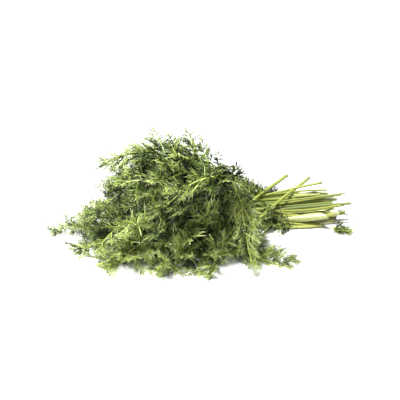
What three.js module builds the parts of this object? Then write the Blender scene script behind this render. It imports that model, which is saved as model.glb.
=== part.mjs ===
// A loose bunch of fresh dill lying on a table. The cut stem ends point to +X and the feathery
// leaves spread out to -X. +Z is up. The origin is on the table, under the middle of the bunch.
//
// The bunch is stacked the way it fell. Sprigs are laid one after another, and each stem and each
// leaf comes to rest on whatever is already below it. Every stem and every compound leaf is a solid
// of its own. A leaf's solid is the closed, softly lobed plume that its threads fill.
import * as THREE from "three";

// Driving dimensions, millimetres and degrees.
const SEED = 321;
const GAP = 0.7; // clear space kept between a piece and what it rests on
const PRESS = 1.9; // how far the lowest leaves are squeezed flat against the table

const FAN_CENTRE = new THREE.Vector2(40, 16); // where the stems run in under the leaves
const FAN_HALF_WIDTH = 27; // how far to each side of it the outermost stems pass
const FAN_REACH = 190; // from the fan centre to the farthest leaf tip, straight along -X
const BACK_REACH = 0.85; // reach on the far side, as a share of the near side's
const CUT_END_X = 151;
const CUT_END_SPREAD = [0, 46]; // Y range of the cut ends
const CUT_END_STAGGER = 20; // unevenness of the cut ends along X
const CUT_END_DISORDER = 22; // how far a cut end may lie from its place in the fan
const CUT_END_ASKEW = 13; // how far a stem's foot may point away from straight along +X, degrees
const CUT_END_PLAY = 6; // how far a cut end may shift while a stem is tried
const HEADING_PLAY = 12; // how far a stem's heading may turn while it is tried
const CROSSING_HEADING_PLAY = 2;

const STEM_RADIUS = [1.15, 2.1]; // at the cut end, thinnest and thickest
const STEM_TIP_RADIUS = 1.0;
const STEM_SIDES = 6;
const STEM_RING_SPACING = 15;
const SHEATH_RADIUS = 2.3; // extra radius of the pale sheath round a stem's base
const SHEATH_LENGTH = 46;

const LEAF_LENGTH = [84, 116];
const SIDE_LEAF_LENGTH = [60, 88];
const LEAF_HALF_WIDTH = [11, 15];
const LEAF_LEAST_GAP = 2.2; // from the end of a stem to the foot of its end leaf
const END_LEAF_TURN = 34; // how far an end leaf may turn from its stem's heading
const END_LEAF_BEND = [14, 26]; // sideways bend that all end leaves share, and its unevenness
const SIDE_LEAF_PLACE = [0.42, 0.98]; // share of the stem's length where side leaves branch off
const SIDE_LEAF_TURN = [26, 100];
const SIDE_LEAF_BEND = [0, 30];
const SIDE_LEAF_WIDTH = 0.9; // width of a side leaf as a share of an end leaf's
const SIDE_LEAF_GAP = 3.4; // from the middle of a stem to the foot of a side leaf
const SIDE_LEAF_LIFT = 0.7;
const LEAF_FLATNESS = 0.3; // thickness of the plume as a share of its width
const LEAF_SIDES = 8;
const LEAF_LOBES = 6;
const LOBE_DEPTH = 0.13;
const STALK_RADIUS = 1.1; // bare stalk between the stem and the plume
const STALK_LENGTH = 9;

const STEM_STEEPEST = 0.34; // steepest rise along a stem, and along a soft leaf
const CROSSING_STEEPEST = 0.07;
const LEAF_STEEPEST = 0.75;
// The heap's outline is two overlapping domes: the main heap, and a lower lobe on the near side.
const DOMES = [
  { centre: new THREE.Vector2(-56, 2), halfSize: new THREE.Vector2(118, 98), height: 84 },
  { centre: new THREE.Vector2(28, -36), halfSize: new THREE.Vector2(58, 66), height: 62 },
];
const OUTLINE_EASE = 12; // keeps the outline's rim from counting as crowded at once

// How finely the pieces are laid.
const TRIES = 60; // ways each piece is tried, of which the one with the most room is kept
const ROUNDS = 10; // corrections while one piece settles
const SMOOTHING = 4; // passes that round a settled line
const HEAP_CELL = 1; // grid spacing of the heap's surface
const HEAP_HALF_SPAN = 260;
const WALK_STEP = 1.2; // spacing of the points checked along a piece
const WALK_DENSITY = 1.6; // points checked across it, per millimetre of half-width
const STEEPEST_ROLL = THREE.MathUtils.degToRad(32);

// Layers of sprigs from the table upwards. Headings are turned from -X towards the near side, -Y.
// Reach is a share of the fan's, and lift raises the leaf tips.
const LAYERS = [
  { sprigs: 7, from: -68, to: 100, reach: 1.0, lift: 0 },
  { sprigs: 6, from: -58, to: 92, reach: 0.95, lift: 6 },
  { sprigs: 5, from: -44, to: 72, reach: 0.86, lift: 16 },
];
// Two short sprigs thrown across the top of the stems, from the far side to the near side. Each lies
// almost straight, from its cut end to the base of its leaf.
const CROSSING_SPRIGS = [
  { cut: new THREE.Vector2(104, 74), end: new THREE.Vector2(54, -6), heading: 58, lift: 4 },
  { cut: new THREE.Vector2(126, 68), end: new THREE.Vector2(67, -26), heading: 60, lift: 2 },
];
const SHEATHED_SPRIGS = [4, 12]; // the two thick stems with a pale sheath, counted from the table up
// Side leaves that stray out of the heap on the near side, by the sprig that each grows on. The turn
// is from the stem's own heading.
const STRAY_LEAVES = {
  2: { place: 0.97, turn: 48, bend: 42, length: 92, halfWidth: 9 },
  4: { place: 0.5, turn: 60, bend: 14, length: 30, halfWidth: 6 },
};
// A tip that broke off and lies by the cut ends.
const LOOSE_TIP = { base: new THREE.Vector2(153, -13), heading: 160, length: 14, halfWidth: 3.2 };

const STEM_GREENS = [0x9cb848, 0xb2c862, 0x88a83c];
const LEAF_GREENS = [0x3f6b1f, 0x55822a, 0x4a7524, 0x345c1c];
const STEM_ROUGHNESS = 0.5;
const LEAF_ROUGHNESS = 0.6;
const UP = new THREE.Vector3(0, 0, 1);

function seededRandom(seed) {
  let state = seed;
  return () => {
    state = (state + 0x6d2b79f5) | 0;
    let bits = Math.imul(state ^ (state >>> 15), 1 | state);
    bits = (bits + Math.imul(bits ^ (bits >>> 7), 61 | bits)) ^ bits;
    return ((bits ^ (bits >>> 14)) >>> 0) / 4294967296;
  };
}

const random = seededRandom(SEED);
const between = ([low, high]) => THREE.MathUtils.lerp(low, high, random());
const wobble = (size) => (random() * 2 - 1) * size;

// Direction in the table's plane for a heading in degrees.
function direction(heading) {
  const angle = THREE.MathUtils.degToRad(heading);
  return new THREE.Vector2(-Math.cos(angle), -Math.sin(angle));
}

// The upper surface of everything laid so far, as a grid of heights over the table.
class Heap {
  constructor() {
    this.across = Math.ceil((2 * HEAP_HALF_SPAN) / HEAP_CELL);
    this.heights = new Float64Array(this.across * this.across);
  }

  column(value) {
    return Math.floor((value + HEAP_HALF_SPAN) / HEAP_CELL);
  }

  height(x, y) {
    return this.heights[this.column(y) * this.across + this.column(x)];
  }

  // Raises the grid to a point of a new piece, and the cells around it too.
  cover(point) {
    for (let row = -1; row <= 1; row += 1) {
      for (let step = -1; step <= 1; step += 1) {
        const index = (this.column(point.y) + row) * this.across + this.column(point.x) + step;
        this.heights[index] = Math.max(this.heights[index], point.z);
      }
    }
  }
}

// Height of the heap's outline over a place on the table.
function outlineHeight(place) {
  const heights = DOMES.map(({ centre, halfSize, height }) => {
    const offset = place.clone().sub(centre).divide(halfSize);
    return height * Math.sqrt(Math.max(0, 1 - offset.lengthSq()));
  });
  return Math.max(...heights);
}

// A piece is a spine with an elliptical section. The section's half-width and half-thickness change
// along the spine, and its roll tilts it sideways so that it follows the slope below.
class Piece {
  constructor(plan, sections, rings, steepest) {
    this.plan = plan;
    this.sections = sections;
    this.rings = rings;
    this.steepest = steepest;
    this.points = plan.getSpacedPoints(rings).map((p) => new THREE.Vector3(p.x, p.y, 0));
    this.rolls = this.points.map(() => 0);
    this.length = plan.getLength();
  }

  get spine() {
    return new THREE.CatmullRomCurve3(this.points, false, "centripetal");
  }

  // Centre, sideways direction and upward direction of the section at a share of the length.
  frame(spine, share) {
    const centre = spine.getPoint(share);
    const ahead = spine.getTangent(share);
    const side = new THREE.Vector3().crossVectors(ahead, UP).normalize();
    const place = share * this.rings;
    const ring = Math.min(Math.floor(place), this.rings - 1);
    const roll = THREE.MathUtils.lerp(this.rolls[ring], this.rolls[ring + 1], place - ring);
    side.applyAxisAngle(ahead, roll);
    const upward = new THREE.Vector3().crossVectors(side, ahead);
    return { centre, side, upward };
  }

  // Walks over the upper (face 1) or lower (face -1) surface in small steps.
  walkSurface(face, visit) {
    const spine = this.spine;
    const steps = Math.ceil(this.length / WALK_STEP);
    for (let step = 0; step <= steps; step += 1) {
      const share = step / steps;
      const { centre, side, upward } = this.frame(spine, share);
      const { halfWidth, halfThickness } = this.sections(share);
      const strips = Math.max(2, Math.ceil(halfWidth * WALK_DENSITY));
      for (let strip = 0; strip <= strips; strip += 1) {
        const angle = (Math.PI * strip) / strips;
        const point = centre.clone();
        point.addScaledVector(side, halfWidth * Math.cos(angle));
        point.addScaledVector(upward, face * halfThickness * Math.sin(angle));
        visit(point, share);
      }
    }
  }

  // Tilts each section to the mean sideways slope of the heap under it.
  rollToSlope(heap) {
    const spine = this.spine;
    const slopes = this.points.map((point, ring) => {
      const { centre, side } = this.frame(spine, ring / this.rings);
      const arm = 0.7 * this.sections(ring / this.rings).halfWidth + HEAP_CELL;
      const right = heap.height(centre.x + side.x * arm, centre.y + side.y * arm);
      const left = heap.height(centre.x - side.x * arm, centre.y - side.y * arm);
      return Math.atan2(right - left, 2 * arm);
    });
    this.rolls = slopes.map((slope, ring) => {
      const nearby = slopes.slice(Math.max(0, ring - 2), ring + 3);
      const mean = nearby.reduce((sum, each) => sum + each, 0) / nearby.length;
      return THREE.MathUtils.clamp(mean, -STEEPEST_ROLL, STEEPEST_ROLL);
    });
  }

  // Lowers the piece onto the heap. Where its underside would bite into what lies below, the support
  // is raised there, and near the end of the rounds all along.
  settle(heap, startHeight, lift, press) {
    this.rollToSlope(heap);
    const support = this.points.map(() => 0);
    support[0] = startHeight;
    for (let round = 0; round < ROUNDS; round += 1) {
      this.straighten(support);
      this.points.forEach((point, ring) => {
        point.z = this.heights[ring] + lift * (ring / this.rings) ** 2;
      });
      const bites = this.points.map(() => 0);
      this.walkSurface(-1, (point, share) => {
        const below = heap.height(point.x, point.y);
        const allowed = below > 0 ? below + GAP : -press;
        const ring = share * this.rings;
        for (const near of [Math.floor(ring), Math.ceil(ring)]) {
          bites[near] = Math.max(bites[near], allowed - point.z);
        }
      });
      const deepest = Math.max(...bites);
      if (deepest <= 0) {
        break;
      }
      const everywhere = round >= ROUNDS - 2 ? deepest : 0;
      bites.forEach((bite, ring) => {
        support[ring] = Math.max(support[ring], this.heights[ring] + Math.max(bite, everywhere));
      });
    }
    return this;
  }

  // Bridges the hollows of the support line: no steeper than the piece can bend, and smoothed.
  straighten(support) {
    let heights = [...support];
    const drop = (this.steepest * this.length) / this.rings;
    for (let ring = 1; ring <= this.rings; ring += 1) {
      heights[ring] = Math.max(heights[ring], heights[ring - 1] - drop);
    }
    for (let ring = this.rings - 1; ring >= 0; ring -= 1) {
      heights[ring] = Math.max(heights[ring], heights[ring + 1] - drop);
    }
    for (let pass = 0; pass < SMOOTHING; pass += 1) {
      heights = heights.map((height, ring) => {
        const before = heights[Math.max(0, ring - 1)];
        const after = heights[Math.min(this.rings, ring + 1)];
        return Math.max(support[ring], (before + 2 * height + after) / 4);
      });
    }
    this.heights = heights;
  }

  // How high the piece lies at its worst place, as a share of the heap's rounded outline there.
  crowding() {
    const shares = this.points.map((point) => {
      const place = new THREE.Vector2(point.x, point.y);
      return point.z / (outlineHeight(place) + OUTLINE_EASE);
    });
    return Math.max(...shares);
  }

  // A lathe-turned rod with one ring per spine point, flattened and laid along the spine. What would
  // dip below the table is pressed flat on it.
  geometry(sides) {
    const profile = this.points.map((point, ring) => {
      const share = ring / this.rings;
      return new THREE.Vector2(this.sections(share).halfWidth, share);
    });
    profile.unshift(new THREE.Vector2(0, 0));
    profile.push(new THREE.Vector2(0, 1));
    const rod = new THREE.LatheGeometry(profile, sides);
    const spine = this.spine;
    const position = rod.attributes.position;
    const local = new THREE.Vector3();
    for (let index = 0; index < position.count; index += 1) {
      local.fromBufferAttribute(position, index);
      const { centre, side, upward } = this.frame(spine, local.y);
      const { halfWidth, halfThickness } = this.sections(local.y);
      centre.addScaledVector(side, local.x);
      centre.addScaledVector(upward, (local.z * halfThickness) / halfWidth);
      position.setXYZ(index, centre.x, centre.y, Math.max(centre.z, 0));
    }
    rod.deleteAttribute("uv");
    rod.computeVertexNormals();
    return rod;
  }
}

// Round section that tapers from the cut end to the leaf, with a swelling where a sheath wraps it.
function stemSections(length, baseRadius, sheathed) {
  return (share) => {
    const sheathShare = THREE.MathUtils.smoothstep(SHEATH_LENGTH - share * length, 0, SHEATH_LENGTH);
    const sheath = sheathed ? SHEATH_RADIUS * sheathShare : 0;
    const radius = THREE.MathUtils.lerp(baseRadius, STEM_TIP_RADIUS, share) + sheath;
    return { halfWidth: radius, halfThickness: radius };
  };
}

// Bare stalk first, then a flattened plume that widens quickly, has soft lobes and ends in a point.
function leafSections(length, halfWidth) {
  const stalkShare = Math.min(0.2, STALK_LENGTH / length);
  return (share) => {
    const along = Math.max(0, (share - stalkShare) / (1 - stalkShare));
    const outline = Math.sin(Math.PI * along ** 0.72) ** 0.8 || 0;
    const lobes = 1 + LOBE_DEPTH * Math.cos(2 * Math.PI * LEAF_LOBES * share);
    const width = STALK_RADIUS * (1 - 0.6 * along) + halfWidth * outline * lobes;
    return { halfWidth: width, halfThickness: LEAF_FLATNESS * width + 0.6 };
  };
}

const bunch = new THREE.Group();
const heap = new Heap();

function addMesh(name, geometry, colour, roughness) {
  const material = new THREE.MeshStandardMaterial({ color: colour, roughness, metalness: 0 });
  const mesh = new THREE.Mesh(geometry, material);
  mesh.name = name;
  bunch.add(mesh);
}

// Tries a piece several ways and lays the one that stands out of the heap the least.
function layBest(makePiece) {
  let best = makePiece();
  for (let attempt = 1; attempt < TRIES; attempt += 1) {
    const piece = makePiece();
    if (piece.crowding() < best.crowding()) {
      best = piece;
    }
  }
  best.walkSurface(1, (point) => heap.cover(point));
  return best;
}

let leafCount = 0;

// A leaf from its place on a stem, bending a little to one side.
function leafPiece({ start, height, heading, bend, length, halfWidth, lift }) {
  const middle = start.clone().addScaledVector(direction(heading), length * 0.5);
  const end = middle.clone().addScaledVector(direction(heading + bend), length * 0.5);
  const plan = new THREE.QuadraticBezierCurve(start, middle, end);
  const rings = 2 * LEAF_LOBES + 2;
  const piece = new Piece(plan, leafSections(length, halfWidth), rings, LEAF_STEEPEST);
  return piece.settle(heap, height, lift, PRESS);
}

function addLeaf(makeSettings) {
  const piece = layBest(() => leafPiece(makeSettings()));
  leafCount += 1;
  const name = `leaf_${String(leafCount).padStart(2, "0")}`;
  const colour = LEAF_GREENS[leafCount % LEAF_GREENS.length];
  addMesh(name, piece.geometry(LEAF_SIDES), colour, LEAF_ROUGHNESS);
}

// The stem's line on the table from its cut end to the base of its end leaf.
function stemPlan(cut, stemEnd, startHeading, endHeading) {
  const run = cut.distanceTo(stemEnd);
  return new THREE.CubicBezierCurve(
    cut,
    cut.clone().addScaledVector(direction(startHeading), 0.4 * run),
    stemEnd.clone().addScaledVector(direction(endHeading), -0.35 * run),
    stemEnd,
  );
}

// Where a stem of the fan ends, so that its end leaf reaches as far as the fan does on its heading.
function fanEnd(heading, distance, leafLength) {
  const sideways = Math.sin(heading * THREE.MathUtils.DEG2RAD);
  const pass = new THREE.Vector2(0, -FAN_HALF_WIDTH * sideways);
  const beyond = distance - leafLength;
  return FAN_CENTRE.clone().add(pass).addScaledVector(direction(heading * 1.1), beyond);
}

// The heading of a stem at a share of its length, in degrees from -X towards the near side.
function headingAt(stem, place) {
  const ahead = stem.plan.getTangentAt(place);
  return THREE.MathUtils.radToDeg(Math.atan2(-ahead.y, -ahead.x));
}

// Lays the stem of a sprig, from its cut end to the base of its end leaf.
function addStem(index, { cut, end, heading, reach = 1, lift, sheathed }) {
  const sideways = Math.min(Math.abs(heading) / 90, 1);
  const share = reach * (heading < 0 ? BACK_REACH : 1);
  const distance = FAN_REACH * share * (1 - 0.5 * sideways);
  const leafLength = Math.min(between(LEAF_LENGTH), distance * 0.9);
  const baseRadius = between(STEM_RADIUS);
  const stem = layBest(() => {
    const stemHeading = heading + wobble(end ? CROSSING_HEADING_PLAY : HEADING_PLAY);
    const stemEnd = end ?? fanEnd(stemHeading, distance, leafLength);
    const startHeading = end ? heading : wobble(CUT_END_ASKEW);
    const cutEnd = new THREE.Vector2(cut.x, cut.y + wobble(CUT_END_PLAY));
    const plan = stemPlan(cutEnd, stemEnd, startHeading, stemHeading);
    const length = plan.getLength();
    const rings = Math.max(6, Math.ceil(length / STEM_RING_SPACING));
    const sections = stemSections(length, baseRadius, sheathed);
    const piece = new Piece(plan, sections, rings, end ? CROSSING_STEEPEST : STEM_STEEPEST);
    return piece.settle(heap, baseRadius, 0, 0);
  });
  const name = `stem_${String(index + 1).padStart(2, "0")}`;
  const colour = STEM_GREENS[index % STEM_GREENS.length];
  addMesh(name, stem.geometry(STEM_SIDES), colour, STEM_ROUGHNESS);
  return { stem, leafLength, lift };
}

// Settings of a side leaf that may branch off anywhere along the leafy part of its stem.
function looseSideLeaf() {
  const side = random() < 0.5 ? 1 : -1;
  return {
    place: between(SIDE_LEAF_PLACE),
    turn: side * between(SIDE_LEAF_TURN),
    bend: side * between(SIDE_LEAF_BEND),
    length: between(SIDE_LEAF_LENGTH),
    halfWidth: between(LEAF_HALF_WIDTH) * SIDE_LEAF_WIDTH,
  };
}

// A leaf that branches off partway along a stem, to one side or the other.
function addSideLeaf({ stem, lift }, stray) {
  addLeaf(() => {
    const { place, turn, bend, length, halfWidth } = stray ?? looseSideLeaf();
    const heading = headingAt(stem, place) + turn;
    return {
      start: stem.plan.getPointAt(place).addScaledVector(direction(heading), SIDE_LEAF_GAP),
      height: stem.spine.getPoint(place).z,
      heading,
      bend,
      length,
      halfWidth,
      lift: lift * SIDE_LEAF_LIFT,
    };
  });
}

// The leaf that carries the stem's line on to the tip of the sprig.
function addEndLeaf({ stem, leafLength, lift }) {
  const stemHeading = headingAt(stem, 1);
  const foot = stem.plan.getPointAt(1).addScaledVector(direction(stemHeading), LEAF_LEAST_GAP);
  addLeaf(() => ({
    start: foot,
    height: stem.points[stem.rings].z,
    heading: stemHeading + wobble(END_LEAF_TURN),
    bend: Math.sign(stemHeading) * END_LEAF_BEND[0] + wobble(END_LEAF_BEND[1]),
    length: leafLength,
    halfWidth: between(LEAF_HALF_WIDTH),
    lift,
  }));
}

const sprigs = [];
for (const layer of LAYERS) {
  for (let place = 0; place < layer.sprigs; place += 1) {
    // Sprigs of one layer fall in a mixed order, not from one side to the other.
    const slot = (place * 3) % layer.sprigs;
    const across = (slot + 0.5) / layer.sprigs;
    const heading = THREE.MathUtils.lerp(layer.from, layer.to, across) + wobble(5);
    const spread = THREE.MathUtils.lerp(CUT_END_SPREAD[1], CUT_END_SPREAD[0], across);
    const cut = new THREE.Vector2(CUT_END_X - random() * CUT_END_STAGGER, spread + wobble(CUT_END_DISORDER));
    const sprig = addStem(sprigs.length, {
      cut,
      heading,
      reach: layer.reach * (0.94 + 0.1 * random()),
      lift: layer.lift * (0.6 + 0.7 * random()),
      sheathed: SHEATHED_SPRIGS.includes(sprigs.length),
    });
    sprigs.push(sprig);
  }
}
for (const crossing of CROSSING_SPRIGS) {
  sprigs.push(addStem(sprigs.length, { ...crossing, sheathed: false }));
}
// The stems lie in the middle of the bunch, so all the leaves come to rest over them.
for (const [index, sprig] of sprigs.entries()) {
  addEndLeaf(sprig);
  if (index < sprigs.length - CROSSING_SPRIGS.length) {
    addSideLeaf(sprig, STRAY_LEAVES[index]);
  }
}

const loosePlan = new THREE.LineCurve(
  LOOSE_TIP.base,
  LOOSE_TIP.base.clone().addScaledVector(direction(LOOSE_TIP.heading), LOOSE_TIP.length),
);
const looseSections = leafSections(LOOSE_TIP.length, LOOSE_TIP.halfWidth);
const looseTip = new Piece(loosePlan, looseSections, 6, LEAF_STEEPEST).settle(heap, 0, 0, 0);
addMesh("loose_leaf_tip", looseTip.geometry(LEAF_SIDES), LEAF_GREENS[1], LEAF_ROUGHNESS);

// The origin goes under the middle of the bunch, at table height.
const box = new THREE.Box3().setFromObject(bunch);
const middle = box.getCenter(new THREE.Vector3());
for (const mesh of bunch.children) {
  mesh.geometry.translate(-middle.x, -middle.y, -box.min.z);
}

export default bunch;
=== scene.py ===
# %% [markdown]
# # A loose bunch of fresh dill
# The imported model is the frame of this lesson. It holds twenty stems and thirty-nine leaves, each a plain
# bent body in its right place. Every one of them is replaced here by a modelled stem or frond that
# follows the same line. A few things are added: extra layers of leaf, small sprigs, and a shift
# of four of the stems.

import math
import random

import bmesh
import bpy
import numpy as np
from mathutils import Matrix, Vector


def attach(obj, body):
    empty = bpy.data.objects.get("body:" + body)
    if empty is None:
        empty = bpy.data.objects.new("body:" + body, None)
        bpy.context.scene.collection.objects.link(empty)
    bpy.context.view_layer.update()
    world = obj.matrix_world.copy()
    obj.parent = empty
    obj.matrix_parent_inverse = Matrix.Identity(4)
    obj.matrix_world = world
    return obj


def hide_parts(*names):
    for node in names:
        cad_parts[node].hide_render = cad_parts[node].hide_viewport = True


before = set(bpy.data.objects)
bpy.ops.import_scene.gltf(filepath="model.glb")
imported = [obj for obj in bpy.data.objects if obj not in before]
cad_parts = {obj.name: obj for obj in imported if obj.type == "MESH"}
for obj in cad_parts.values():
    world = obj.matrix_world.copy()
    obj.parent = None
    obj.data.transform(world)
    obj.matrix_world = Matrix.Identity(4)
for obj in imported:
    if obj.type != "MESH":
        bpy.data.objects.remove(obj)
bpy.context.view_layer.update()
MM = 0.001
chance = random.Random(7)

# %% [markdown]
# ## The camera
# The bunch is seen from its long side, from a little under thirty degrees up. A long lens keeps
# the stems from looking larger than the leaves. The camera is turned towards a point a little above
# the table with a direction and an up axis, which is simpler than working out three angles.

# %% Camera
CAMERA_DISTANCE = 1.45
CAMERA_HEIGHT_ANGLE = math.radians(27.5)
AIM = Vector((0, 0, 0.023))
LENS = 135
SENSOR_WIDTH = 36
NEAREST_SEEN = 0.05
bpy.ops.object.select_all(action="DESELECT")
bpy.ops.object.camera_add()
camera = bpy.context.object
camera.name = "camera"
camera.data.lens = LENS
camera.data.sensor_width = SENSOR_WIDTH
camera.data.clip_start = NEAREST_SEEN
camera.location = AIM + CAMERA_DISTANCE * Vector(
    (0, -math.cos(CAMERA_HEIGHT_ANGLE), math.sin(CAMERA_HEIGHT_ANGLE)))
camera.rotation_euler = (AIM - camera.location).to_track_quat("-Z", "Y").to_euler()
bpy.context.scene.camera = camera
print("camera at", [round(c, 3) for c in camera.location])

# %% [markdown]
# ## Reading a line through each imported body
# A packed stem or leaf is a row of rings closed by a point at each end. Its triangles are loose, so a
# copy is merged first. Then the rings come out one after another by walking from an end point to its
# neighbours, and to theirs. The middles of the rings are the line that the stem or the leaf follows.

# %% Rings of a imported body
MERGE_DISTANCE = 1e-6
LAST_RING_EDGES = 5  # edges that meet at each corner of the ring next to an end point


def neighbours(corner):
    return [edge.other_vert(corner) for edge in corner.link_edges]


def rings_of(node):
    body = bmesh.new()
    body.from_mesh(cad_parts[node].data)
    bmesh.ops.remove_doubles(body, verts=body.verts, dist=MERGE_DISTANCE)
    ends = [v for v in body.verts if all(len(n.link_edges) == LAST_RING_EDGES for n in neighbours(v))]
    ring, seen, rings = [ends[0]], {ends[0]}, []
    while ring:
        rings.append([v.co.copy() for v in ring])
        ring = [n for n in dict.fromkeys(n for v in ring for n in neighbours(v)) if n not in seen]
        seen.update(ring)
    body.free()
    return rings


class Line:
    """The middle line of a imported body, from its stalk end or cut end outwards."""

    def __init__(self, node):
        rings = rings_of(node)
        if self.starts_at_far_end(node, rings):
            rings.reverse()
        self.points = [sum(ring, Vector()) / len(ring) for ring in rings]
        self.radii = [max((p - c).length for p in ring) for ring, c in zip(rings, self.points)]
        self.rings = rings

    def starts_at_far_end(self, node, rings):
        if node.startswith("stem"):
            return rings[0][0].x < rings[-1][0].x
        spread = [max((a - b).length for a in ring for b in ring) for ring in (rings[1], rings[-2])]
        return spread[0] < spread[1]

    def at(self, share):
        """The point, the way ahead and the radius at a share of the length, below 0 before its start."""
        left = share * self.length
        if left < 0:
            ahead = (self.points[2] - self.points[1]).normalized()
            return self.points[0] + left * ahead, ahead, self.radii[1]
        for index, (a, b) in enumerate(zip(self.points, self.points[1:])):
            span = (b - a).length
            if left <= span or index == len(self.points) - 2:
                part = min(left / span, 1.0)
                radius = self.radii[index] + part * (self.radii[index + 1] - self.radii[index])
                return a.lerp(b, part), (b - a).normalized(), radius
            left -= span

    @property
    def length(self):
        return sum((b - a).length for a, b in zip(self.points, self.points[1:]))

    def roll(self):
        """How far the body's width is turned about its line, from level, at its widest ring."""
        widest = max(range(2, len(self.points) - 2), key=lambda i: self.radii[i])
        ahead = (self.points[widest + 1] - self.points[widest - 1]).normalized()
        across = max((p - self.points[widest] for p in self.rings[widest]), key=lambda d: d.length)
        level = Vector((0, 0, 1)).cross(ahead).normalized()
        upward = ahead.cross(level)
        angle = math.atan2(across.dot(upward), across.dot(level))
        return (angle + math.pi / 2) % math.pi - math.pi / 2


lines = {node: Line(node) for node in sorted(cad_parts)}
print("longest stem:", round(max(l.length for n, l in lines.items() if n[:4] == "stem"), 3), "m")

# %% [markdown]
# ## Small helpers for modelling
# An operator acts on all that is selected, so each step starts by selecting exactly what it needs.
# Faces and edges are chosen by where they are, through a test on their middle.

# %% Selecting, copying and joining
def pick(*pieces):
    bpy.ops.object.select_all(action="DESELECT")
    for piece in pieces:
        piece.select_set(True)
    bpy.context.view_layer.objects.active = pieces[0]


def select_faces(piece, test):
    """In edit mode, selects the faces whose middle passes the test, and no others."""
    bpy.ops.mesh.select_mode(type="FACE")
    bpy.ops.mesh.select_all(action="DESELECT")
    shape = bmesh.from_edit_mesh(piece.data)
    for face in shape.faces:
        face.select_set(test(face.calc_center_median()))
    bmesh.update_edit_mesh(piece.data)


MAP = "OFBake"
MAP_MIDDLE = 0.5
MAP_REACH = 0.47  # the tints stay this close to the middle of the map


def shift_map(piece, shift):
    """Moves the map sideways, which makes the colour darker or paler."""
    uv = piece.data.uv_layers[MAP].data
    flat = np.zeros(len(uv) * 2)
    uv.foreach_get("uv", flat)
    flat[0::2] += shift
    uv.foreach_set("uv", flat)


def laid_copy(piece, place, tint=0.0):
    """A copy with its own mesh, moved to its place, with its colour shifted."""
    copy = piece.copy()
    copy.data = piece.data.copy()
    bpy.context.collection.objects.link(copy)
    copy.data.transform(place)
    shift_map(copy, tint)
    return copy


def keep_map_inside(piece):
    """Squeezes the tints smoothly into the map, so that no thread falls off its edge."""
    uv = piece.data.uv_layers[MAP].data
    flat = np.zeros(len(uv) * 2)
    uv.foreach_get("uv", flat)
    flat[0::2] = MAP_MIDDLE + MAP_REACH * np.tanh((flat[0::2] - MAP_MIDDLE) / MAP_REACH)
    uv.foreach_set("uv", flat)


def joined(pieces, name):
    pick(*pieces)
    bpy.ops.object.join()
    piece = bpy.context.object
    piece.name = name
    return piece


def turned(about, degrees):
    return Matrix.Rotation(math.radians(degrees), 4, about)


def either_way(limit):
    """A random value between the limit on one side and the limit on the other."""
    return chance.uniform(-limit, limit)


print("every piece keeps its colour map under the name", MAP)

# %% [markdown]
# ## One thread of leaf
# A dill leaf has no blade. It ends in soft green threads less than a millimetre thick and one to two
# centimetres long. Here they are made a little over a millimetre thick, to be seen. A thread is repeated
# tens of thousands of times, so it is kept to three sides: a short cylinder whose far face is moved a
# little sideways, then drawn out into a point. Its map runs along the thread, so one colour ramp can pale
# its foot and its tip.

# %% Thread
THREAD_RADIUS = 0.64 * MM
THREAD_SHAPES = [(13 * MM, 0.9 * MM), (16 * MM, -1.3 * MM), (11 * MM, 1.2 * MM), (18 * MM, 1.9 * MM)]
THREAD_KNEE = 0.55  # share of the length where it bends
THREAD_KNEE_WIDTH = 0.85
THREAD_TIP_SWAY = 0.4
THREAD_FOOT = 0.34  # where on the map's height a thread begins; its stalk is below
TINT_WIDTH = 0.07


def map_along(piece, length, low, high):
    """The map's height follows x from low to high, and its width goes once around the x axis."""
    if piece.data.uv_layers.get(MAP) is None:
        piece.data.uv_layers.new(name=MAP)
    for other in [l for l in piece.data.uv_layers if l.name != MAP]:
        piece.data.uv_layers.remove(other)
    layer = piece.data.uv_layers[MAP]
    for face in piece.data.polygons:
        middle = math.atan2(face.center.z, face.center.y) / math.tau
        for loop in face.loop_indices:
            corner = piece.data.vertices[piece.data.loops[loop].vertex_index].co
            around = math.atan2(corner.z, corner.y) / math.tau
            around += round(middle - around)
            share = min(max(corner.x / length, 0.0), 1.0)
            layer.data[loop].uv = (MAP_MIDDLE + TINT_WIDTH * around, low + (high - low) * share)


def make_thread(number, length, sway):
    knee = THREAD_KNEE * length
    bpy.ops.object.select_all(action="DESELECT")
    bpy.ops.mesh.primitive_cylinder_add(
        vertices=3, radius=THREAD_RADIUS, depth=knee,
        location=(knee / 2, 0, 0), rotation=(0, math.pi / 2, 0))
    thread = bpy.context.object
    thread.name = f"thread_{number}"
    bpy.ops.object.transform_apply(location=True, rotation=True, scale=True)
    bpy.ops.object.mode_set(mode="EDIT")
    select_faces(thread, lambda middle: middle.x > 0.9 * knee)
    bpy.ops.transform.translate(value=(0, sway, 0))
    bpy.ops.transform.resize(
        value=(1, THREAD_KNEE_WIDTH, THREAD_KNEE_WIDTH), center_override=(knee, sway, 0))
    bpy.ops.mesh.extrude_region_move(
        TRANSFORM_OT_translate={"value": (length - knee, THREAD_TIP_SWAY * sway, 0)})
    bpy.ops.mesh.merge(type="CENTER")
    bpy.ops.object.mode_set(mode="OBJECT")
    map_along(thread, length, THREAD_FOOT, 1.0)
    return thread


threads = [make_thread(i, *shape) for i, shape in enumerate(THREAD_SHAPES)]
print("faces in a thread:", len(threads[0].data.polygons))

# %% [markdown]
# ## Tufts
# Threads grow in pairs from a thin stalk, with one at its end, and make a small tuft. The pairs lean
# forwards, and each thread is rolled a little out of the flat so that the tuft has some depth.

# %% Tuft
TUFT_LENGTH = 9 * MM
TUFT_STALK_RADIUS = 0.5 * MM
TUFT_PAIRS = 3
TUFT_LEAN = (20, 42)
TUFT_ROLL = 38
THREAD_TINT = 0.36
THIN_STALK_MAP = (0.04, 0.30)


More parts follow.
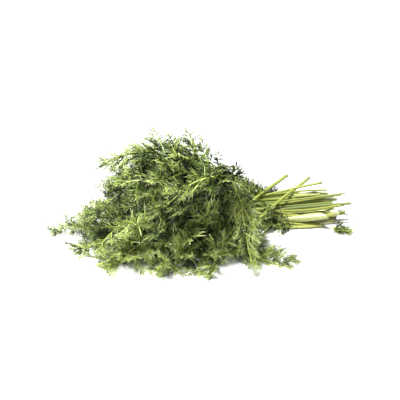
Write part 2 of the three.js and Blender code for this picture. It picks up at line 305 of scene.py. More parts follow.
def thin_stalk(length, radius, number):
    """A thread stretched into a stalk. Its map stays in the pale part of the ramp."""
    stalk = laid_copy(threads[number % len(threads)], Matrix.Identity(4))
    reach = max(v.co.x for v in stalk.data.vertices)
    thick = radius / THREAD_RADIUS
    stalk.data.transform(Matrix.Diagonal((length / reach, thick, thick, 1)))
    map_along(stalk, length, *THIN_STALK_MAP)
    return stalk


def make_tuft(number):
    parts = [thin_stalk(1.4 * TUFT_LENGTH, TUFT_STALK_RADIUS, number)]
    for pair in range(TUFT_PAIRS):
        for side in (-1, 1):
            lean = side * chance.uniform(*TUFT_LEAN)
            share = 0.18 + 0.3 * pair + either_way(0.06)
            shorter = 1.0 - 0.13 * pair
            place = (Matrix.Translation((share * TUFT_LENGTH, 0, 0))
                     @ turned("X", either_way(TUFT_ROLL)) @ turned("Z", lean)
                     @ Matrix.Scale(chance.uniform(0.72, 1.05) * shorter, 4))
            parts.append(laid_copy(chance.choice(threads), place, either_way(THREAD_TINT)))
    tip = Matrix.Translation((TUFT_LENGTH, 0, 0)) @ turned("Y", either_way(15))
    parts.append(laid_copy(chance.choice(threads), tip @ Matrix.Scale(0.85, 4), 0.1))
    return joined(parts, f"tuft_{number}")


tufts = [make_tuft(i) for i in range(5)]
print("faces in a tuft:", [len(t.data.polygons) for t in tufts])

# %% [markdown]
# ## Side branches
# Tufts stand in pairs along a longer stalk and make one side branch of the leaf. It is modelled
# straight, then the Simple Deform modifier curls it, as fresh dill curls at the ends.

# %% Side branch
BRANCH_LENGTH = 30 * MM
TIP_PALER = 0.45
STALK_PALER = 0.12
BRANCH_STALK_RADIUS = 0.75 * MM
BRANCH_PAIRS = 4
BRANCH_LEAN = (32, 52)
BRANCH_ROLL = 35
TUFT_TINT = 0.1
BRANCH_CURLS = [18, -24, 30, -12, 8]


def curl(piece, degrees):
    pick(piece)
    bpy.ops.object.modifier_add(type="SIMPLE_DEFORM")
    modifier = piece.modifiers[-1]
    modifier.deform_method = "BEND"
    modifier.deform_axis = "Z"
    modifier.angle = math.radians(degrees)
    bpy.ops.object.modifier_apply(modifier=modifier.name)


def make_branch(number):
    parts = [thin_stalk(BRANCH_LENGTH, BRANCH_STALK_RADIUS, number)]
    shift_map(parts[0], STALK_PALER)
    for pair in range(BRANCH_PAIRS):
        share = 0.16 + 0.21 * pair
        paler = TIP_PALER * (share - 0.5)
        for side in (-1, 1):
            place = (Matrix.Translation((BRANCH_LENGTH * (share + either_way(0.05)), 0, 0))
                     @ turned("X", either_way(BRANCH_ROLL))
                     @ turned("Z", side * chance.uniform(*BRANCH_LEAN))
                     @ Matrix.Scale(chance.uniform(0.8, 1.05) * (1.05 - 0.35 * share), 4))
            parts.append(laid_copy(chance.choice(tufts), place, paler + either_way(TUFT_TINT)))
    tip = Matrix.Translation((0.9 * BRANCH_LENGTH, 0, 0))
    parts.append(laid_copy(chance.choice(tufts), tip @ Matrix.Scale(0.75, 4), 0.5 * TIP_PALER))
    branch = joined(parts, f"branch_{number}")
    curl(branch, BRANCH_CURLS[number])
    return branch


branches = [make_branch(i) for i in range(len(BRANCH_CURLS))]
print("faces in a branch:", [len(b.data.polygons) for b in branches])

# %% [markdown]
# ## Fronds
# A whole leaf is a rib with pairs of side branches, long near its foot and short at its tip. Eight
# fronds are modelled straight, a tenth of a metre long. Thirty-eight leaves are copies of them, each
# turned, sized and bent in its own way, which hides the repeats.

# %% Frond
FROND_LENGTH = 100 * MM
FROND_KINDS = 8
PAIRS = 10
FIRST_PAIR = 0.13
LAST_PAIR = 0.91
RIB_RADIUS = 1.15 * MM
RIB_SIDES = 5
RIB_STEPS = 14
RIB_TIP_WIDTH = 0.42
RIB_MAP_TOP = 0.28
FROND_LEAN = (34, 58)
FROND_ROLL = 48
BRANCH_TURN = 60
BRANCH_TINT = 0.24


def make_rib(length):
    bpy.ops.object.select_all(action="DESELECT")
    bpy.ops.mesh.primitive_circle_add(
        vertices=RIB_SIDES, radius=RIB_RADIUS, fill_type="NGON", rotation=(0, math.pi / 2, 0))
    rib = bpy.context.object
    bpy.ops.object.transform_apply(location=False, rotation=True, scale=False)
    bpy.ops.object.mode_set(mode="EDIT")
    bpy.ops.mesh.select_all(action="SELECT")
    thinner = RIB_TIP_WIDTH ** (1 / RIB_STEPS)
    for step in range(RIB_STEPS):
        ahead = length * (step + 1) / RIB_STEPS
        bpy.ops.mesh.extrude_region_move(TRANSFORM_OT_translate={"value": (length / RIB_STEPS, 0, 0)})
        bpy.ops.transform.resize(value=(1, thinner, thinner), center_override=(ahead, 0, 0))
    bpy.ops.mesh.select_all(action="SELECT")
    bpy.ops.mesh.normals_make_consistent(inside=False)
    bpy.ops.object.mode_set(mode="OBJECT")
    map_along(rib, length, 0.0, RIB_MAP_TOP)
    return rib


def make_frond(number):
    parts = [make_rib(0.93 * FROND_LENGTH)]
    shift_map(parts[0], STALK_PALER)
    for pair in range(PAIRS):
        share = FIRST_PAIR + (LAST_PAIR - FIRST_PAIR) * pair / (PAIRS - 1)
        size = (1.12 - 0.72 * share) * min(1.0, 0.72 + 1.6 * (share - FIRST_PAIR))
        for side in (-1, 1):
            place = (Matrix.Translation((FROND_LENGTH * (share + either_way(0.03)), 0, 0))
                     @ turned("X", either_way(FROND_ROLL))
                     @ turned("Z", side * chance.uniform(*FROND_LEAN))
                     @ turned("X", either_way(BRANCH_TURN))
                     @ Matrix.Scale(size * chance.uniform(0.8, 1.1), 4))
            parts.append(laid_copy(chance.choice(branches), place, either_way(BRANCH_TINT)))
    tip = Matrix.Translation((0.86 * FROND_LENGTH, 0, 0))
    parts.append(laid_copy(chance.choice(branches), tip @ Matrix.Scale(0.55, 4), 0.06))
    return joined(parts, f"frond_{number}")


fronds = [make_frond(i) for i in range(FROND_KINDS)]
print("faces in a frond:", [len(f.data.polygons) for f in fronds])

# %% [markdown]
# ## Bending a piece along its line
# A Curve modifier bends a straight piece along a curve drawn through the middles of the rings. The
# piece is stretched to the curve's whole length, and each point's radius thickens or thins it there.
# Nothing real goes through the table, so a bent piece is pressed up where it would. The bent threads also
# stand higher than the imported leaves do, so heights near the top are pressed down.

# %% Bending
CURVE_STEPS = 8


def curve_along(points, radii):
    bpy.ops.object.select_all(action="DESELECT")
    bpy.ops.curve.primitive_bezier_curve_add()
    curve = bpy.context.object
    curve.data.dimensions = "3D"
    curve.data.twist_mode = "Z_UP"
    curve.data.resolution_u = CURVE_STEPS
    curve.data.use_stretch = True
    curve.data.use_deform_bounds = True
    curve.data.use_radius = True
    spline = curve.data.splines[0]
    spline.bezier_points.add(len(points) - 2)
    for knot, point, radius in zip(spline.bezier_points, points, radii):
        knot.co = point
        knot.radius = radius
        knot.handle_left_type = knot.handle_right_type = "AUTO"
    return curve


def bend(piece, points, radii=None):
    """Bends a straight piece along the points, and leaves its place in its mesh."""
    curve = curve_along(points, radii or [1.0] * len(points))
    pick(piece)
    bpy.ops.object.modifier_add(type="CURVE")
    modifier = piece.modifiers[-1]
    modifier.object = curve
    modifier.deform_axis = "POS_X"
    bpy.ops.object.modifier_apply(modifier=modifier.name)
    bpy.data.objects.remove(curve)


TABLE_SOFTNESS = 1.3 * MM
HEAP_TOP = 91 * MM
TOP_SOFTNESS = 4 * MM


def rest_on_table(piece):
    """Presses what would go through the table up against it, and the highest threads down a little."""
    mesh = piece.data
    flat = np.zeros(len(mesh.vertices) * 3)
    mesh.vertices.foreach_get("co", flat)
    height = flat[2::3]
    height = TABLE_SOFTNESS * np.logaddexp(0.0, height / TABLE_SOFTNESS)
    flat[2::3] = HEAP_TOP - TOP_SOFTNESS * np.logaddexp(0.0, (HEAP_TOP - height) / TOP_SOFTNESS)
    mesh.vertices.foreach_set("co", flat)
    mesh.update()


print("heights are pressed down towards", HEAP_TOP, "m")

# %% [markdown]
# ## Writing a finish
# Shader values are written as ordinary sums. A small class wraps a node's output and adds the Math
# node that a sum needs. A second class holds a material with its nodes, and gives the map's width and
# height as two such values, since every colour here is worked out from the map.

# %% Shader helpers
def srgb(red, green, blue):
    """A colour as seen on a screen, 0 to 255, turned into the linear values that a shader takes."""
    linear = [c / 12.92 if c <= 0.04045 else ((c + 0.055) / 1.055) ** 2.4
              for c in (red / 255, green / 255, blue / 255)]
    return (*linear, 1.0)


class Value:
    """One output of a node tree."""

    def __init__(self, finish, socket):
        self.finish = finish
        self.socket = socket

    def math(self, operation, first, second=0.0):
        return self.finish.node("ShaderNodeMath", {"operation": operation}, {0: first, 1: second})

    def __add__(self, other):
        return self.math("ADD", self, other)

    def __mul__(self, other):
        return self.math("MULTIPLY", self, other)

    def wave(self):
        """A cosine lifted so that it runs between 0 and 1."""
        return self.math("COSINE", self) * 0.5 + 0.5


class Finish:
    """A material and its node tree."""

    def __init__(self, name):
        self.material = bpy.data.materials.new(name)
        self.material.use_nodes = True
        self.tree = self.material.node_tree
        self.shader = self.tree.nodes["Principled BSDF"]

    def plug(self, slot, value):
        if isinstance(value, Value):
            self.tree.links.new(value.socket, slot)
        else:
            slot.default_value = value

    def node(self, kind, settings=None, values=None, output=0):
        node = self.tree.nodes.new(kind)
        for name, setting in (settings or {}).items():
            if name == "stops":
                set_stops(node.color_ramp, setting)
            else:
                setattr(node, name, setting)
        for name, value in (values or {}).items():
            self.plug(node.inputs[name], value)
        return Value(self, node.outputs[output])

    def set(self, **values):
        for name, value in values.items():
            label = name.replace("_", " ").title().replace("Ior", "IOR")
            self.plug(self.shader.inputs[label], value)

    def map(self):
        """The map's width and its height."""
        place = self.node("ShaderNodeUVMap", {"uv_map": MAP})
        across = self.node("ShaderNodeSeparateXYZ", values={0: place})
        return across, Value(self, across.socket.node.outputs[1])

    def ramp(self, value, stops):
        return self.node("ShaderNodeValToRGB", {"stops": stops}, {0: value})

    def mix(self, share, first, second, blend="MIX"):
        return self.node("ShaderNodeMix", {"data_type": "RGBA", "blend_type": blend},
                         {0: share, 6: first, 7: second}, output=2)


def set_stops(ramp, stops):
    while len(ramp.elements) < len(stops):
        ramp.elements.new(1.0)
    for element, (place, colour) in zip(ramp.elements, stops):
        element.position = place
        element.color = colour


print("middle grey on a screen is", round(srgb(128, 128, 128)[0], 3), "to a shader")

# %% [markdown]
# ## The finish of the leaves
# A dill thread is pale where it grows from its stalk and green between. Its tip is pale too, and the near
# white there is painted highlight. One ramp along the thread gives that. A second ramp runs across the map
# from dark to light, and multiplies the first, so that threads of different tints lie side by side. A real
# leaf varies in tint, but not this far: the darkest tints are painted shade for the gaps in the heap, and
# the palest are painted highlight on lit threads.

# %% Leaf finish
def leaf_finish():
    finish = Finish("dill_leaf")
    tint, along = finish.map()
    # the near-white stop at the tip is painted highlight
    along_thread_with_tip_highlight = finish.ramp(along, [
        (0.00, srgb(206, 212, 128)), (0.26, srgb(184, 196, 104)), (0.36, srgb(142, 160, 80)),
        (0.70, srgb(168, 185, 106)), (1.00, srgb(252, 252, 222))])
    # the darkest stops are painted shade and the palest are painted highlight
    shade = finish.ramp(tint, [
        (0.28, srgb(24, 36, 16)), (0.44, srgb(92, 112, 78)), (0.58, srgb(196, 208, 176)),
        (0.74, srgb(255, 255, 240))])
    finish.set(base_color=finish.mix(1.0, along_thread_with_tip_highlight, shade, "MULTIPLY"), roughness=0.5,
               specular_ior_level=0.3)
    return finish.material


LEAF_FINISH = leaf_finish()
print("leaf finish:", LEAF_FINISH.name)

# %% [markdown]
# ## Laying the leaves
# Each leaf starts at the stem that it grows from: its line is led back to the nearest point of a stem.
# Then a frond is sized to that line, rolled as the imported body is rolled, and bent along it. Leaves low
# at the front are laid twice or more, a little apart, because a real heap is closed there. A few leaves
# above the stems are slimmer, or have only a part of their line covered, so that the stems show.

# %% Leaves
stem_points = [p for node, line in lines.items() if node.startswith("stem") for p in line.points]
JOIN_REACH = 9 * MM
ROOT_BACK = 10 * MM
ROOT_DROP = 22 * MM
ROOT_HEIGHT = 2 * MM  # a leaf's root stays at least this high
LINE_STEPS = 9
WIDTH_SHARE = 1.25
LEAST_WIDTH = 0.7
LEAF_FLATNESS = 0.85
LEAF_ROLL = 12
SLIM_LEAVES = {"leaf_28": 0.6, "leaf_34": 0.5, "leaf_37": 0.8, "leaf_10": 0.5, "leaf_14": 0.9,
               "leaf_20": 0.8, "leaf_06": 0.8}
LEAFY_PART = {"leaf_38": (0.22, 1), "leaf_37": (0.2, 1), "leaf_34": (0.32, 1), "leaf_23": (0, 0.86)}
HIGH_HEIGHT = 38 * MM
# leaf_38 is painted paler: painted light that offsets the shade on its curled foot and the darker tint of
# high leaves. leaf_37 is a little darker.
PALER_LEAVES = {"leaf_38": 0.16, "leaf_37": -0.06}
FRONT_FROM = -40 * MM
LOW_HEIGHT = 22 * MM
FRONT_SPREAD = 1.35
FRONT_ROLL = 0.4  # leaves low at the front lie flatter
LAYER_SHIFT = 13 * MM
LAYER_TURN = 70
# Painted shade and light by where a leaf lies: leaves high in the heap are darker, those in the middle a
# little darker, and those low at the front a little paler.
HIGH_PAINTED_SHADE = -0.12
FRONT_PAINTED_LIGHT = 0.02
MIDDLE_PAINTED_SHADE = -0.06
LEAF_TINT = 0.08
EXTRA_LAYERS = {"leaf_13": [(-24, 16), (2, -10)], "leaf_04": [(-14, -6)],
                "loose_leaf_tip": [(0.5, 1.5), (-0.5, -1), (0, 0.5)]}


def laid_leaf(node, line, frond):
    start, end = LEAFY_PART.get(node, (0, 1))
    points = [line.at(start + (end - start) * step / LINE_STEPS)[0] for step in range(LINE_STEPS + 1)]
    nearest = min(stem_points, key=lambda p: (p - points[0]).length)
    if 1 * MM < (nearest - points[0]).length < JOIN_REACH:
        points.insert(0, nearest)
    else:
        back = (points[0] - points[2]) * Vector((1, 1, 0))
        root = points[0] + ROOT_BACK * back.normalized()
        root.z = max(points[0].z - ROOT_DROP, ROOT_HEIGHT)
        points.insert(0, root)
    size = (end - start) * line.length / FROND_LENGTH
    wide = SLIM_LEAVES.get(node, WIDTH_SHARE) * max(size, LEAST_WIDTH)
    middle = line.at(0.5)[0]
    roll = math.degrees(line.roll()) + either_way(LEAF_ROLL)
    at_front = middle.y < FRONT_FROM
    # painted shade high in the heap and in the middle, painted light low at the front
    tint = HIGH_PAINTED_SHADE if middle.z > HIGH_HEIGHT else FRONT_PAINTED_LIGHT if at_front else MIDDLE_PAINTED_SHADE
    shifts = [Vector((0, 0, 0))]
    if at_front and middle.z < LOW_HEIGHT:
        wide *= FRONT_SPREAD
        roll *= FRONT_ROLL
        across = (points[-1] - points[1]).cross(Vector((0, 0, 1))).normalized()
        shifts.append(math.copysign(LAYER_SHIFT, -across.y) * across)
    shifts += [Vector((x * MM, y * MM, 0)) for x, y in EXTRA_LAYERS.get(node, [])]
    tint += PALER_LEAVES.get(node, 0.0)
    kinds = fronds if frond in fronds else branches
    parts = []
    for layer, shift in enumerate(shifts):
        stretch = Matrix.Diagonal((size, wide, LEAF_FLATNESS * wide, 1))
        model = frond if layer == 0 else chance.choice(kinds)
        place = turned("X", roll + LAYER_TURN * layer) @ stretch
        parts.append(laid_copy(model, place, tint + either_way(LEAF_TINT)))
        bend(parts[-1], [p + shift for p in points])
    leaf = joined(parts, f"dill_{node}")
    keep_map_inside(leaf)
    rest_on_table(leaf)
    leaf.data.materials.clear()
    leaf.data.materials.append(LEAF_FINISH)
    return leaf


leaves = {}
for number, node in enumerate(n for n in lines if n.startswith("leaf")):
    leaves[node] = laid_leaf(node, lines[node], fronds[number % FROND_KINDS])
leaves["loose_leaf_tip"] = laid_leaf("loose_leaf_tip", lines["loose_leaf_tip"], branches[0])
for node, leaf in leaves.items():
    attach(leaf, "root")
    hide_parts(node)
print("leaf faces in all:", sum(len(l.data.polygons) for l in leaves.values()))

# %% [markdown]
# ## Sprigs on the stems
# Small side leaves also grow on the bare part of the stems, between the cut ends and the heap. Each is
# one curled branch, bent from a point on its stem outwards and up. The ones at the neck, where the stems
# go into the heap, reach further and stand higher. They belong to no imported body, so they replace none.

# %% Sprigs
SPRIGS = [("stem_13", 0.26, -1), ("stem_05", 0.40, -1), ("stem_07", 0.34, -1), ("stem_08", 0.42, 1),
          ("stem_06", 0.38, 1), ("stem_12", 0.33, 1), ("stem_03", 0.45, -1), ("stem_02", 0.40, 1),
          ("stem_11", 0.30, -1), ("stem_07", 0.24, -1), ("stem_13", 0.36, -1), ("stem_03", 0.28, -1)]
NECK_SPRIGS = [("stem_06", 0.52), ("stem_08", 0.56), ("stem_12", 0.54), ("stem_10", 0.58),
               ("stem_02", 0.56), ("stem_16", 0.54), ("stem_06", 0.62), ("stem_08", 0.66),
               ("stem_12", 0.64), ("stem_02", 0.66)]
SPRIG_REACH = 24 * MM
SPRIG_RISE = 5 * MM
NECK_REACH = 34 * MM
NECK_RISE = 27 * MM
SPRIG_STEPS = 4
SPRIG_AHEAD = 0.8
SPRIG_ASIDE = 0.7
SPRIG_TURN = 30
DARKEST_SPRIG = -0.28
NECK_ASIDE = 0.5
NECK_TINT = 0.12


def laid_sprig(number, node, share, side, tint, reach=SPRIG_REACH, rise=SPRIG_RISE):
    """A small branch of leaf that grows from a stem, between the cut end and the heap."""
    point, ahead, radius = lines[node].at(share)
    level = side * Vector((0, 1, 0))
    points = []
    for step in range(SPRIG_STEPS + 1):
        part = step / SPRIG_STEPS
        out = reach * part * (SPRIG_AHEAD * ahead + SPRIG_ASIDE * part * level)
        points.append(point + out + Vector((0, 0, radius + rise * part)))
    sprig = laid_copy(branches[number % len(branches)], turned("X", SPRIG_TURN * number), tint)
    bend(sprig, points)
    keep_map_inside(sprig)
    rest_on_table(sprig)
    sprig.name = f"dill_sprig_{number:02d}"
    sprig.data.materials.append(LEAF_FINISH)
    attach(sprig, "root")


for number, (node, share, side) in enumerate(SPRIGS, start=1):
    laid_sprig(number, node, share, side, chance.uniform(DARKEST_SPRIG, 0.0))
for number, (node, share) in enumerate(NECK_SPRIGS, start=len(SPRIGS) + 1):
    aside = NECK_ASIDE * math.sin(2.4 * number)
    tint = NECK_TINT * math.sin(1.7 * number)
    laid_sprig(number, node, share, aside, tint, NECK_REACH, NECK_RISE)
print("sprigs:", len(SPRIGS) + len(NECK_SPRIGS))

# %% [markdown]
# ## Stems
# A dill stem is a hollow stalk with fine ribs along it. One straight stalk is modelled: a disc whose
# every second corner is drawn in, then extruded in steps. The cut end is inset and pushed in a little,
# where the pith shrinks back. The curve's radius gives each stem its own taper.

# %% Stalk
RIBS = 10
STALK_STEPS = 44
STALK_RADIUS = 1 * MM
STALK_MODEL_LENGTH = 150 * MM
RIB_DEPTH = 0.88
PITH_RIM = 0.22
PITH_SLOPE = 0.30
PITH_DEPTH = 0.5
SIDE_START = 0.10  # the map's height where the stalk's side begins; the cut end is below
CUT_MAP_HEIGHT = 0.09
TURN_WIDTH = 0.9  # share of the map's width that goes once around
END_REACH = 0.1  # only faces in this first part of the stalk can be its cut end


def make_stalk():
    bpy.ops.object.select_all(action="DESELECT")
    bpy.ops.mesh.primitive_circle_add(
        vertices=2 * RIBS, radius=STALK_RADIUS, fill_type="NGON", rotation=(0, math.pi / 2, 0))
    stalk = bpy.context.object
    stalk.name = "stalk"
    bpy.ops.object.transform_apply(location=False, rotation=True, scale=False)
    for vertex in list(stalk.data.vertices)[::2]:
        vertex.co *= RIB_DEPTH
    bpy.ops.object.mode_set(mode="EDIT")
    bpy.ops.mesh.select_all(action="SELECT")
    for step in range(STALK_STEPS):
        bpy.ops.mesh.extrude_region_move(
            TRANSFORM_OT_translate={"value": (STALK_MODEL_LENGTH / STALK_STEPS, 0, 0)})
    select_faces(stalk, lambda middle: middle.x < MERGE_DISTANCE)
    bpy.ops.mesh.inset(thickness=PITH_RIM * STALK_RADIUS, depth=0)
    bpy.ops.mesh.inset(thickness=PITH_SLOPE * STALK_RADIUS, depth=-PITH_DEPTH * STALK_RADIUS)
    bpy.ops.mesh.select_all(action="SELECT")
    bpy.ops.mesh.normals_make_consistent(inside=False)
    bpy.ops.object.mode_set(mode="OBJECT")
    return stalk


def map_stalk(stalk):
    """Around the stalk and along it; the cut end has the lowest tenth of the map to itself."""
    layer = stalk.data.uv_layers.get(MAP) or stalk.data.uv_layers.new(name=MAP)
    for face in stalk.data.polygons:
        middle = math.atan2(face.center.z, face.center.y) / math.tau
        cut = abs(face.normal.x) > 0.5 and face.center.x < END_REACH * STALK_MODEL_LENGTH
        for loop in face.loop_indices:
            corner = stalk.data.vertices[stalk.data.loops[loop].vertex_index].co
            around = math.atan2(corner.z, corner.y) / math.tau
            around += round(middle - around)
            out = math.hypot(corner.y, corner.z) / STALK_RADIUS
            along = corner.x / STALK_MODEL_LENGTH
            height = CUT_MAP_HEIGHT * min(out, 1.0) if cut else SIDE_START + (1 - SIDE_START) * along
            layer.data[loop].uv = (MAP_MIDDLE + TURN_WIDTH * around, height)


stalk_model = make_stalk()
map_stalk(stalk_model)
print("faces in a stalk:", len(stalk_model.data.polygons))

# %% [markdown]
# ## The finish of the stems
# A ramp along the stem runs from the pale pith and the browned rim of its cut end to the green near the
# leaves. The ribs are striped too: a wave around the stem mixes a paler and a deeper colour. The stripes
# are partly the stem's own streaks and partly painted highlight and painted shade on the ribs, which makes
# the fine modelled ribs easier to see. Three greens, a dried one and a pale one for the sheathed stems
# are made by the same function.

# %% Stem finish
RIM_MAP_HEIGHT = 0.085
PALE_SHARE = 0.25
DEEP_SHARE = 0.45


def stem_finish(name, foot, body, top, foot_end=0.45):
    finish = Finish(name)
    around, along = finish.map()
    skin = finish.ramp(along, [
        (0.0, srgb(206, 204, 150)), (0.05, srgb(178, 174, 108)), (RIM_MAP_HEIGHT, srgb(96, 86, 46)),
        (SIDE_START, foot), (foot_end, body), (1.0, top)])
    # paler stripes: own streaks and painted highlight; deeper stripes: own streaks and painted shade
    ribs = (around * (math.tau * RIBS / TURN_WIDTH)).wave()
    pale = finish.mix(PALE_SHARE, skin, srgb(224, 230, 150))
    deep = finish.mix(DEEP_SHARE, skin, srgb(84, 104, 30))
    colour = finish.mix(ribs, pale, deep)
    finish.set(base_color=colour, roughness=0.40)
    return finish.material


STEM_FINISHES = [
    stem_finish("dill_stem", srgb(142, 148, 68), srgb(112, 126, 34), srgb(88, 106, 28)),
    stem_finish("dill_stem_yellow", srgb(150, 150, 54), srgb(134, 138, 32), srgb(100, 116, 30)),
    stem_finish("dill_stem_green", srgb(92, 110, 36), srgb(68, 88, 20), srgb(58, 80, 18)),
]
DRY_FINISH = stem_finish(
    "dill_stem_dry", srgb(112, 96, 62), srgb(168, 174, 80), srgb(140, 154, 56), foot_end=0.15)
SHEATH_FINISH = stem_finish(
    "sheathed_stem", srgb(172, 172, 122), srgb(154, 160, 90), srgb(104, 120, 40))
print("stem finishes:", [f.name for f in (*STEM_FINISHES, DRY_FINISH, SHEATH_FINISH)])

# %% [markdown]
# ## Sheaths
# The foot of an outer dill leaf is a pale sheath that wraps the stem. It is a thin skin and not a tube,
# so a flat grid is rolled up around the top of the stem: wide where it was cut, with its open side
# down, and closed where it becomes the stem. Solidify gives it its thickness, and one slanting bisect is
# the knife's cut. The skin dries brown along that cut, so the map there points to the brown of the ramp.

# %% Sheath
SHEATH_SPAN = 60 * MM
SHEATH_RADII = (4.8 * MM, 1.9 * MM)
SHEATH_OVERHANG = 0.05
SHEATH_SWING = Vector((0, -11 * MM, 4.5 * MM))
SHEATH_WRAP = (math.radians(100), math.radians(178))
SHEATH_SKIN = 0.6 * MM
CUT_PLACE = Vector((9 * MM, 0, 0))
CUT_FACING = Vector((-1, -0.9, 0.7)).normalized()
RIM_WIDTH = 1.8 * MM
SHEATH_GRID = (22, 14)
SHEATH_MAP_SPAN = 0.4
RIPPLE = 0.05


def brown_the_rim(sheath):
    """Maps the corners on the slanting cut to the brown stop of the ramp."""
    layer = sheath.data.uv_layers[MAP]
    for loop in sheath.data.loops:
        corner = sheath.data.vertices[loop.vertex_index].co
        if abs((corner - CUT_PLACE).dot(CUT_FACING)) < RIM_WIDTH:
            layer.data[loop.index].uv.y = RIM_MAP_HEIGHT


def make_sheath():
    bpy.ops.object.select_all(action="DESELECT")
    bpy.ops.mesh.primitive_grid_add(x_subdivisions=SHEATH_GRID[0], y_subdivisions=SHEATH_GRID[1], size=1)
    sheath = bpy.context.object
    sheath.name = "sheath"
    layer = sheath.data.uv_layers.active
    layer.name = MAP
    for loop in sheath.data.loops:
        spot = sheath.data.vertices[loop.vertex_index].co
        layer.data[loop.index].uv = (MAP_MIDDLE + TURN_WIDTH * spot.y,
                                     SIDE_START + SHEATH_MAP_SPAN * (spot.x + 0.5))
    for vertex in sheath.data.vertices:
        share, across = vertex.co.x + 0.5, 2 * vertex.co.y
        closing = share * share * (3 - 2 * share)
        radius = SHEATH_RADII[0] + closing * (SHEATH_RADII[1] - SHEATH_RADII[0])
        angle = across * (SHEATH_WRAP[0] + closing * (SHEATH_WRAP[1] - SHEATH_WRAP[0]))
        ripple = 1 + RIPPLE * math.sin(9 * across + 6 * share)
        vertex.co = (share * SHEATH_SPAN, radius * ripple * math.sin(angle), radius * math.cos(angle))
    pick(sheath)
    bpy.ops.object.modifier_add(type="SOLIDIFY")
    sheath.modifiers[-1].thickness = SHEATH_SKIN
    sheath.modifiers[-1].offset = 1
    bpy.ops.object.modifier_apply(modifier=sheath.modifiers[-1].name)
    bpy.ops.object.mode_set(mode="EDIT")
    bpy.ops.mesh.select_all(action="SELECT")
    bpy.ops.mesh.bisect(plane_co=CUT_PLACE, plane_no=CUT_FACING, use_fill=True, clear_outer=True)
    bpy.ops.mesh.select_all(action="SELECT")
    bpy.ops.mesh.normals_make_consistent(inside=False)
    bpy.ops.object.mode_set(mode="OBJECT")
    brown_the_rim(sheath)
    return sheath


sheath_model = make_sheath()
print("faces in a sheath:", len(sheath_model.data.polygons))

# %% [markdown]
# ## Laying the stems
# Each stem is a copy of the stalk, bent along its line. Beside a plain stem run four thinner stalks of
# side leaves. Three drift away from it towards the heap, and one does so at the loose cut end, so that
# the bundle is as untidy as a real one. The two sheathed stems are swung to the front at their cut ends,
# and the two that cross the bundle are lifted over it, because they lie on top.

# %% Stems
SHEATHED = ("stem_05", "stem_13")
DRY_ENDED = ("stem_19", "stem_20", "stem_02", "stem_07", "stem_12")
CROSSING = ("stem_19", "stem_20")
CROSSING_LIFT = 4 * MM
CROSSING_WIDTH = 1.15
BACK_FROM = 18 * MM
STEM_STEPS = 16
CUT_SHARE = 0.04  # the radius is read no nearer to the closed end than this
THINNEST_STEM = 0.9 * MM
THICKEST_STEM = 3 * MM
THICKEST_SHEATHED = 1.7 * MM
SIDE_STEPS = 8
SIDE_END = 0.93
SIDE_DRIFT = (3, 19)
SIDE_TAPER = 0.35
LOOSE_DRIFT = 1.2
LOOSE_RISE = 7 * MM
SHEATH_STEPS = 5
SHEATH_TURN = 20


def stalk_along(points, radii, roll=0.0):
    stalk = laid_copy(stalk_model, turned("X", roll))
    bend(stalk, points, [r / STALK_RADIUS for r in radii])
    return stalk


def side_stalk(line, side, loose_end):
    """A thinner stalk beside a stem. It drifts away towards the leaves, or at its loose cut end."""
    start = chance.uniform(-0.11, 0.04) if loose_end else chance.uniform(0.02, 0.34)
    drift = side * chance.uniform(*SIDE_DRIFT) * MM
    rise = chance.uniform(0, 10 if loose_end else 4) * MM
    if loose_end and side > 0:
        drift, rise = LOOSE_DRIFT * drift, rise + LOOSE_RISE
    thick = (chance.uniform(0.9, 1.5) if loose_end else chance.uniform(0.7, 1.2)) * MM
    points, radii = [], []
    for step in range(SIDE_STEPS + 1):
        part = step / SIDE_STEPS
        share = start + (SIDE_END - start) * part
        point, ahead, radius = line.at(share)
        level = Vector((0, 0, 1)).cross(ahead).normalized() * math.copysign(1, -ahead.x)
        away = 1 - part if loose_end else part
        out = math.copysign(0.5 * radius + 0.4 * thick, drift) + drift * away ** 1.4
        up = rise * (away if loose_end else math.sin(math.pi * away))
        points.append(point + level * out + Vector((0, 0, up)))
        radii.append(thick * (1 - SIDE_TAPER * part))
    return stalk_along(points, radii, 90)


def swung(line, share, swing):
    """A point of the line, drawn aside more and more towards the cut end."""
    return line.at(share)[0] + max(0.0, 1 - share / 0.5) ** 1.5 * swing


def laid_stem(node, line):
    sheathed = node in SHEATHED
    thickest = THICKEST_SHEATHED if sheathed else THICKEST_STEM
    crossing = node in CROSSING
    lift = Vector((0, 0, CROSSING_LIFT if crossing else 0))
    swing = SHEATH_SWING if sheathed else Vector()
    shares = [step / STEM_STEPS for step in range(STEM_STEPS + 1)]
    wider = CROSSING_WIDTH if crossing else 1.0
    radii = [wider * line.at(max(share, CUT_SHARE))[2] for share in shares]
    radii = [min(max(radius, THINNEST_STEM), thickest) for radius in radii]
    points = [swung(line, share, swing) + lift for share in shares]
    parts = [stalk_along(points, radii, chance.uniform(0, 360))]
    if not crossing and not sheathed:
        back = 1 if line.points[0].y > BACK_FROM else -1
        parts.append(side_stalk(line, back, True))
        parts.append(side_stalk(line, 1, False))
        parts.append(side_stalk(line, -1, False))
        parts.append(side_stalk(line, 0.4 * back, False))
    if sheathed:
        sheath = laid_copy(sheath_model, turned("X", SHEATH_TURN))
        span = SHEATH_SPAN / line.length
        places = [span * step / SHEATH_STEPS - SHEATH_OVERHANG for step in range(SHEATH_STEPS + 1)]
        bend(sheath, [swung(line, share, swing) for share in places])
        parts.append(sheath)
    stem = joined(parts, f"dill_{node}")
    rest_on_table(stem)
    bpy.ops.object.shade_smooth_by_angle(angle=math.radians(50))
    return stem


for number, (node, line) in enumerate((n, l) for n, l in lines.items() if n.startswith("stem")):
    stem = laid_stem(node, line)
    sheathed = node in SHEATHED
    finish = SHEATH_FINISH if sheathed else STEM_FINISHES[number % len(STEM_FINISHES)]
    stem.data.materials.clear()
    stem.data.materials.append(DRY_FINISH if node in DRY_ENDED else finish)
    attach(stem, "root")
    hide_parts(node)
print("faces in the last stem:", len(stem.data.polygons))

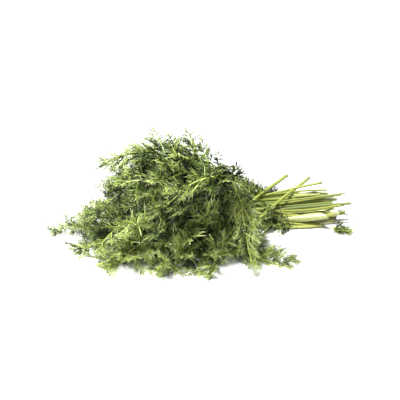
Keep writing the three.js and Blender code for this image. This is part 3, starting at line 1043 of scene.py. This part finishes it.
# %% [markdown]
# ## Clearing the bench
# The straight models were only for copying, so they are taken away.

# %% Remove the models
for model in (*threads, *tufts, *branches, *fronds, stalk_model, sheath_model):
    bpy.data.objects.remove(model)

# %% [markdown]
# ## The floor
# The bunch lies on a plain white table, which is only there for the picture.

# %% Floor
FLOOR_SIZE = 1.7
bpy.ops.object.select_all(action="DESELECT")
bpy.ops.mesh.primitive_plane_add(size=FLOOR_SIZE)
floor = bpy.context.object
floor.name = "floor"
floor_finish = Finish("pale_table")
floor_finish.set(base_color=srgb(240, 240, 240), roughness=0.6)
floor.data.materials.append(floor_finish.material)
print("floor:", FLOOR_SIZE, "m wide")

# %% [markdown]
# ## The light
# A lamp above and to the left gives soft shadows on the right and in the heap, and a weaker one at the
# front opens the darkest of them. The world is white where the camera sees it, as a studio's back wall
# is, and nearly dark for everything else, so that it doesn't wash the shadows out. The Light Path node
# tells the two apart.

# %% Light
SEEN_STRENGTH = 1.0
CAST_STRENGTH = 0.08


def soft_light(name, place, size, power):
    bpy.ops.object.select_all(action="DESELECT")
    bpy.ops.object.light_add(type="AREA", location=place)
    light = bpy.context.object
    light.name = name
    light.data.size = size
    light.data.energy = power
    light.rotation_euler = (-Vector(place)).to_track_quat("-Z", "Y").to_euler()


soft_light("key_light", (-0.45, 0.02, 1.30), 0.34, 52)
soft_light("fill_light", (0.2, -1.3, 1.0), 1.2, 9)
world = bpy.data.worlds.new("studio")
bpy.context.scene.world = world
world.use_nodes = True
background = world.node_tree.nodes["Background"]
background.inputs["Color"].default_value = (1, 1, 1, 1)
seen = world.node_tree.nodes.new("ShaderNodeLightPath")
strength = world.node_tree.nodes.new("ShaderNodeMath")
strength.operation = "MULTIPLY_ADD"
strength.inputs[1].default_value = SEEN_STRENGTH - CAST_STRENGTH
strength.inputs[2].default_value = CAST_STRENGTH
world.node_tree.links.new(seen.outputs["Is Camera Ray"], strength.inputs[0])
world.node_tree.links.new(strength.outputs[0], background.inputs["Strength"])
bpy.context.scene.view_settings.view_transform = "Standard"
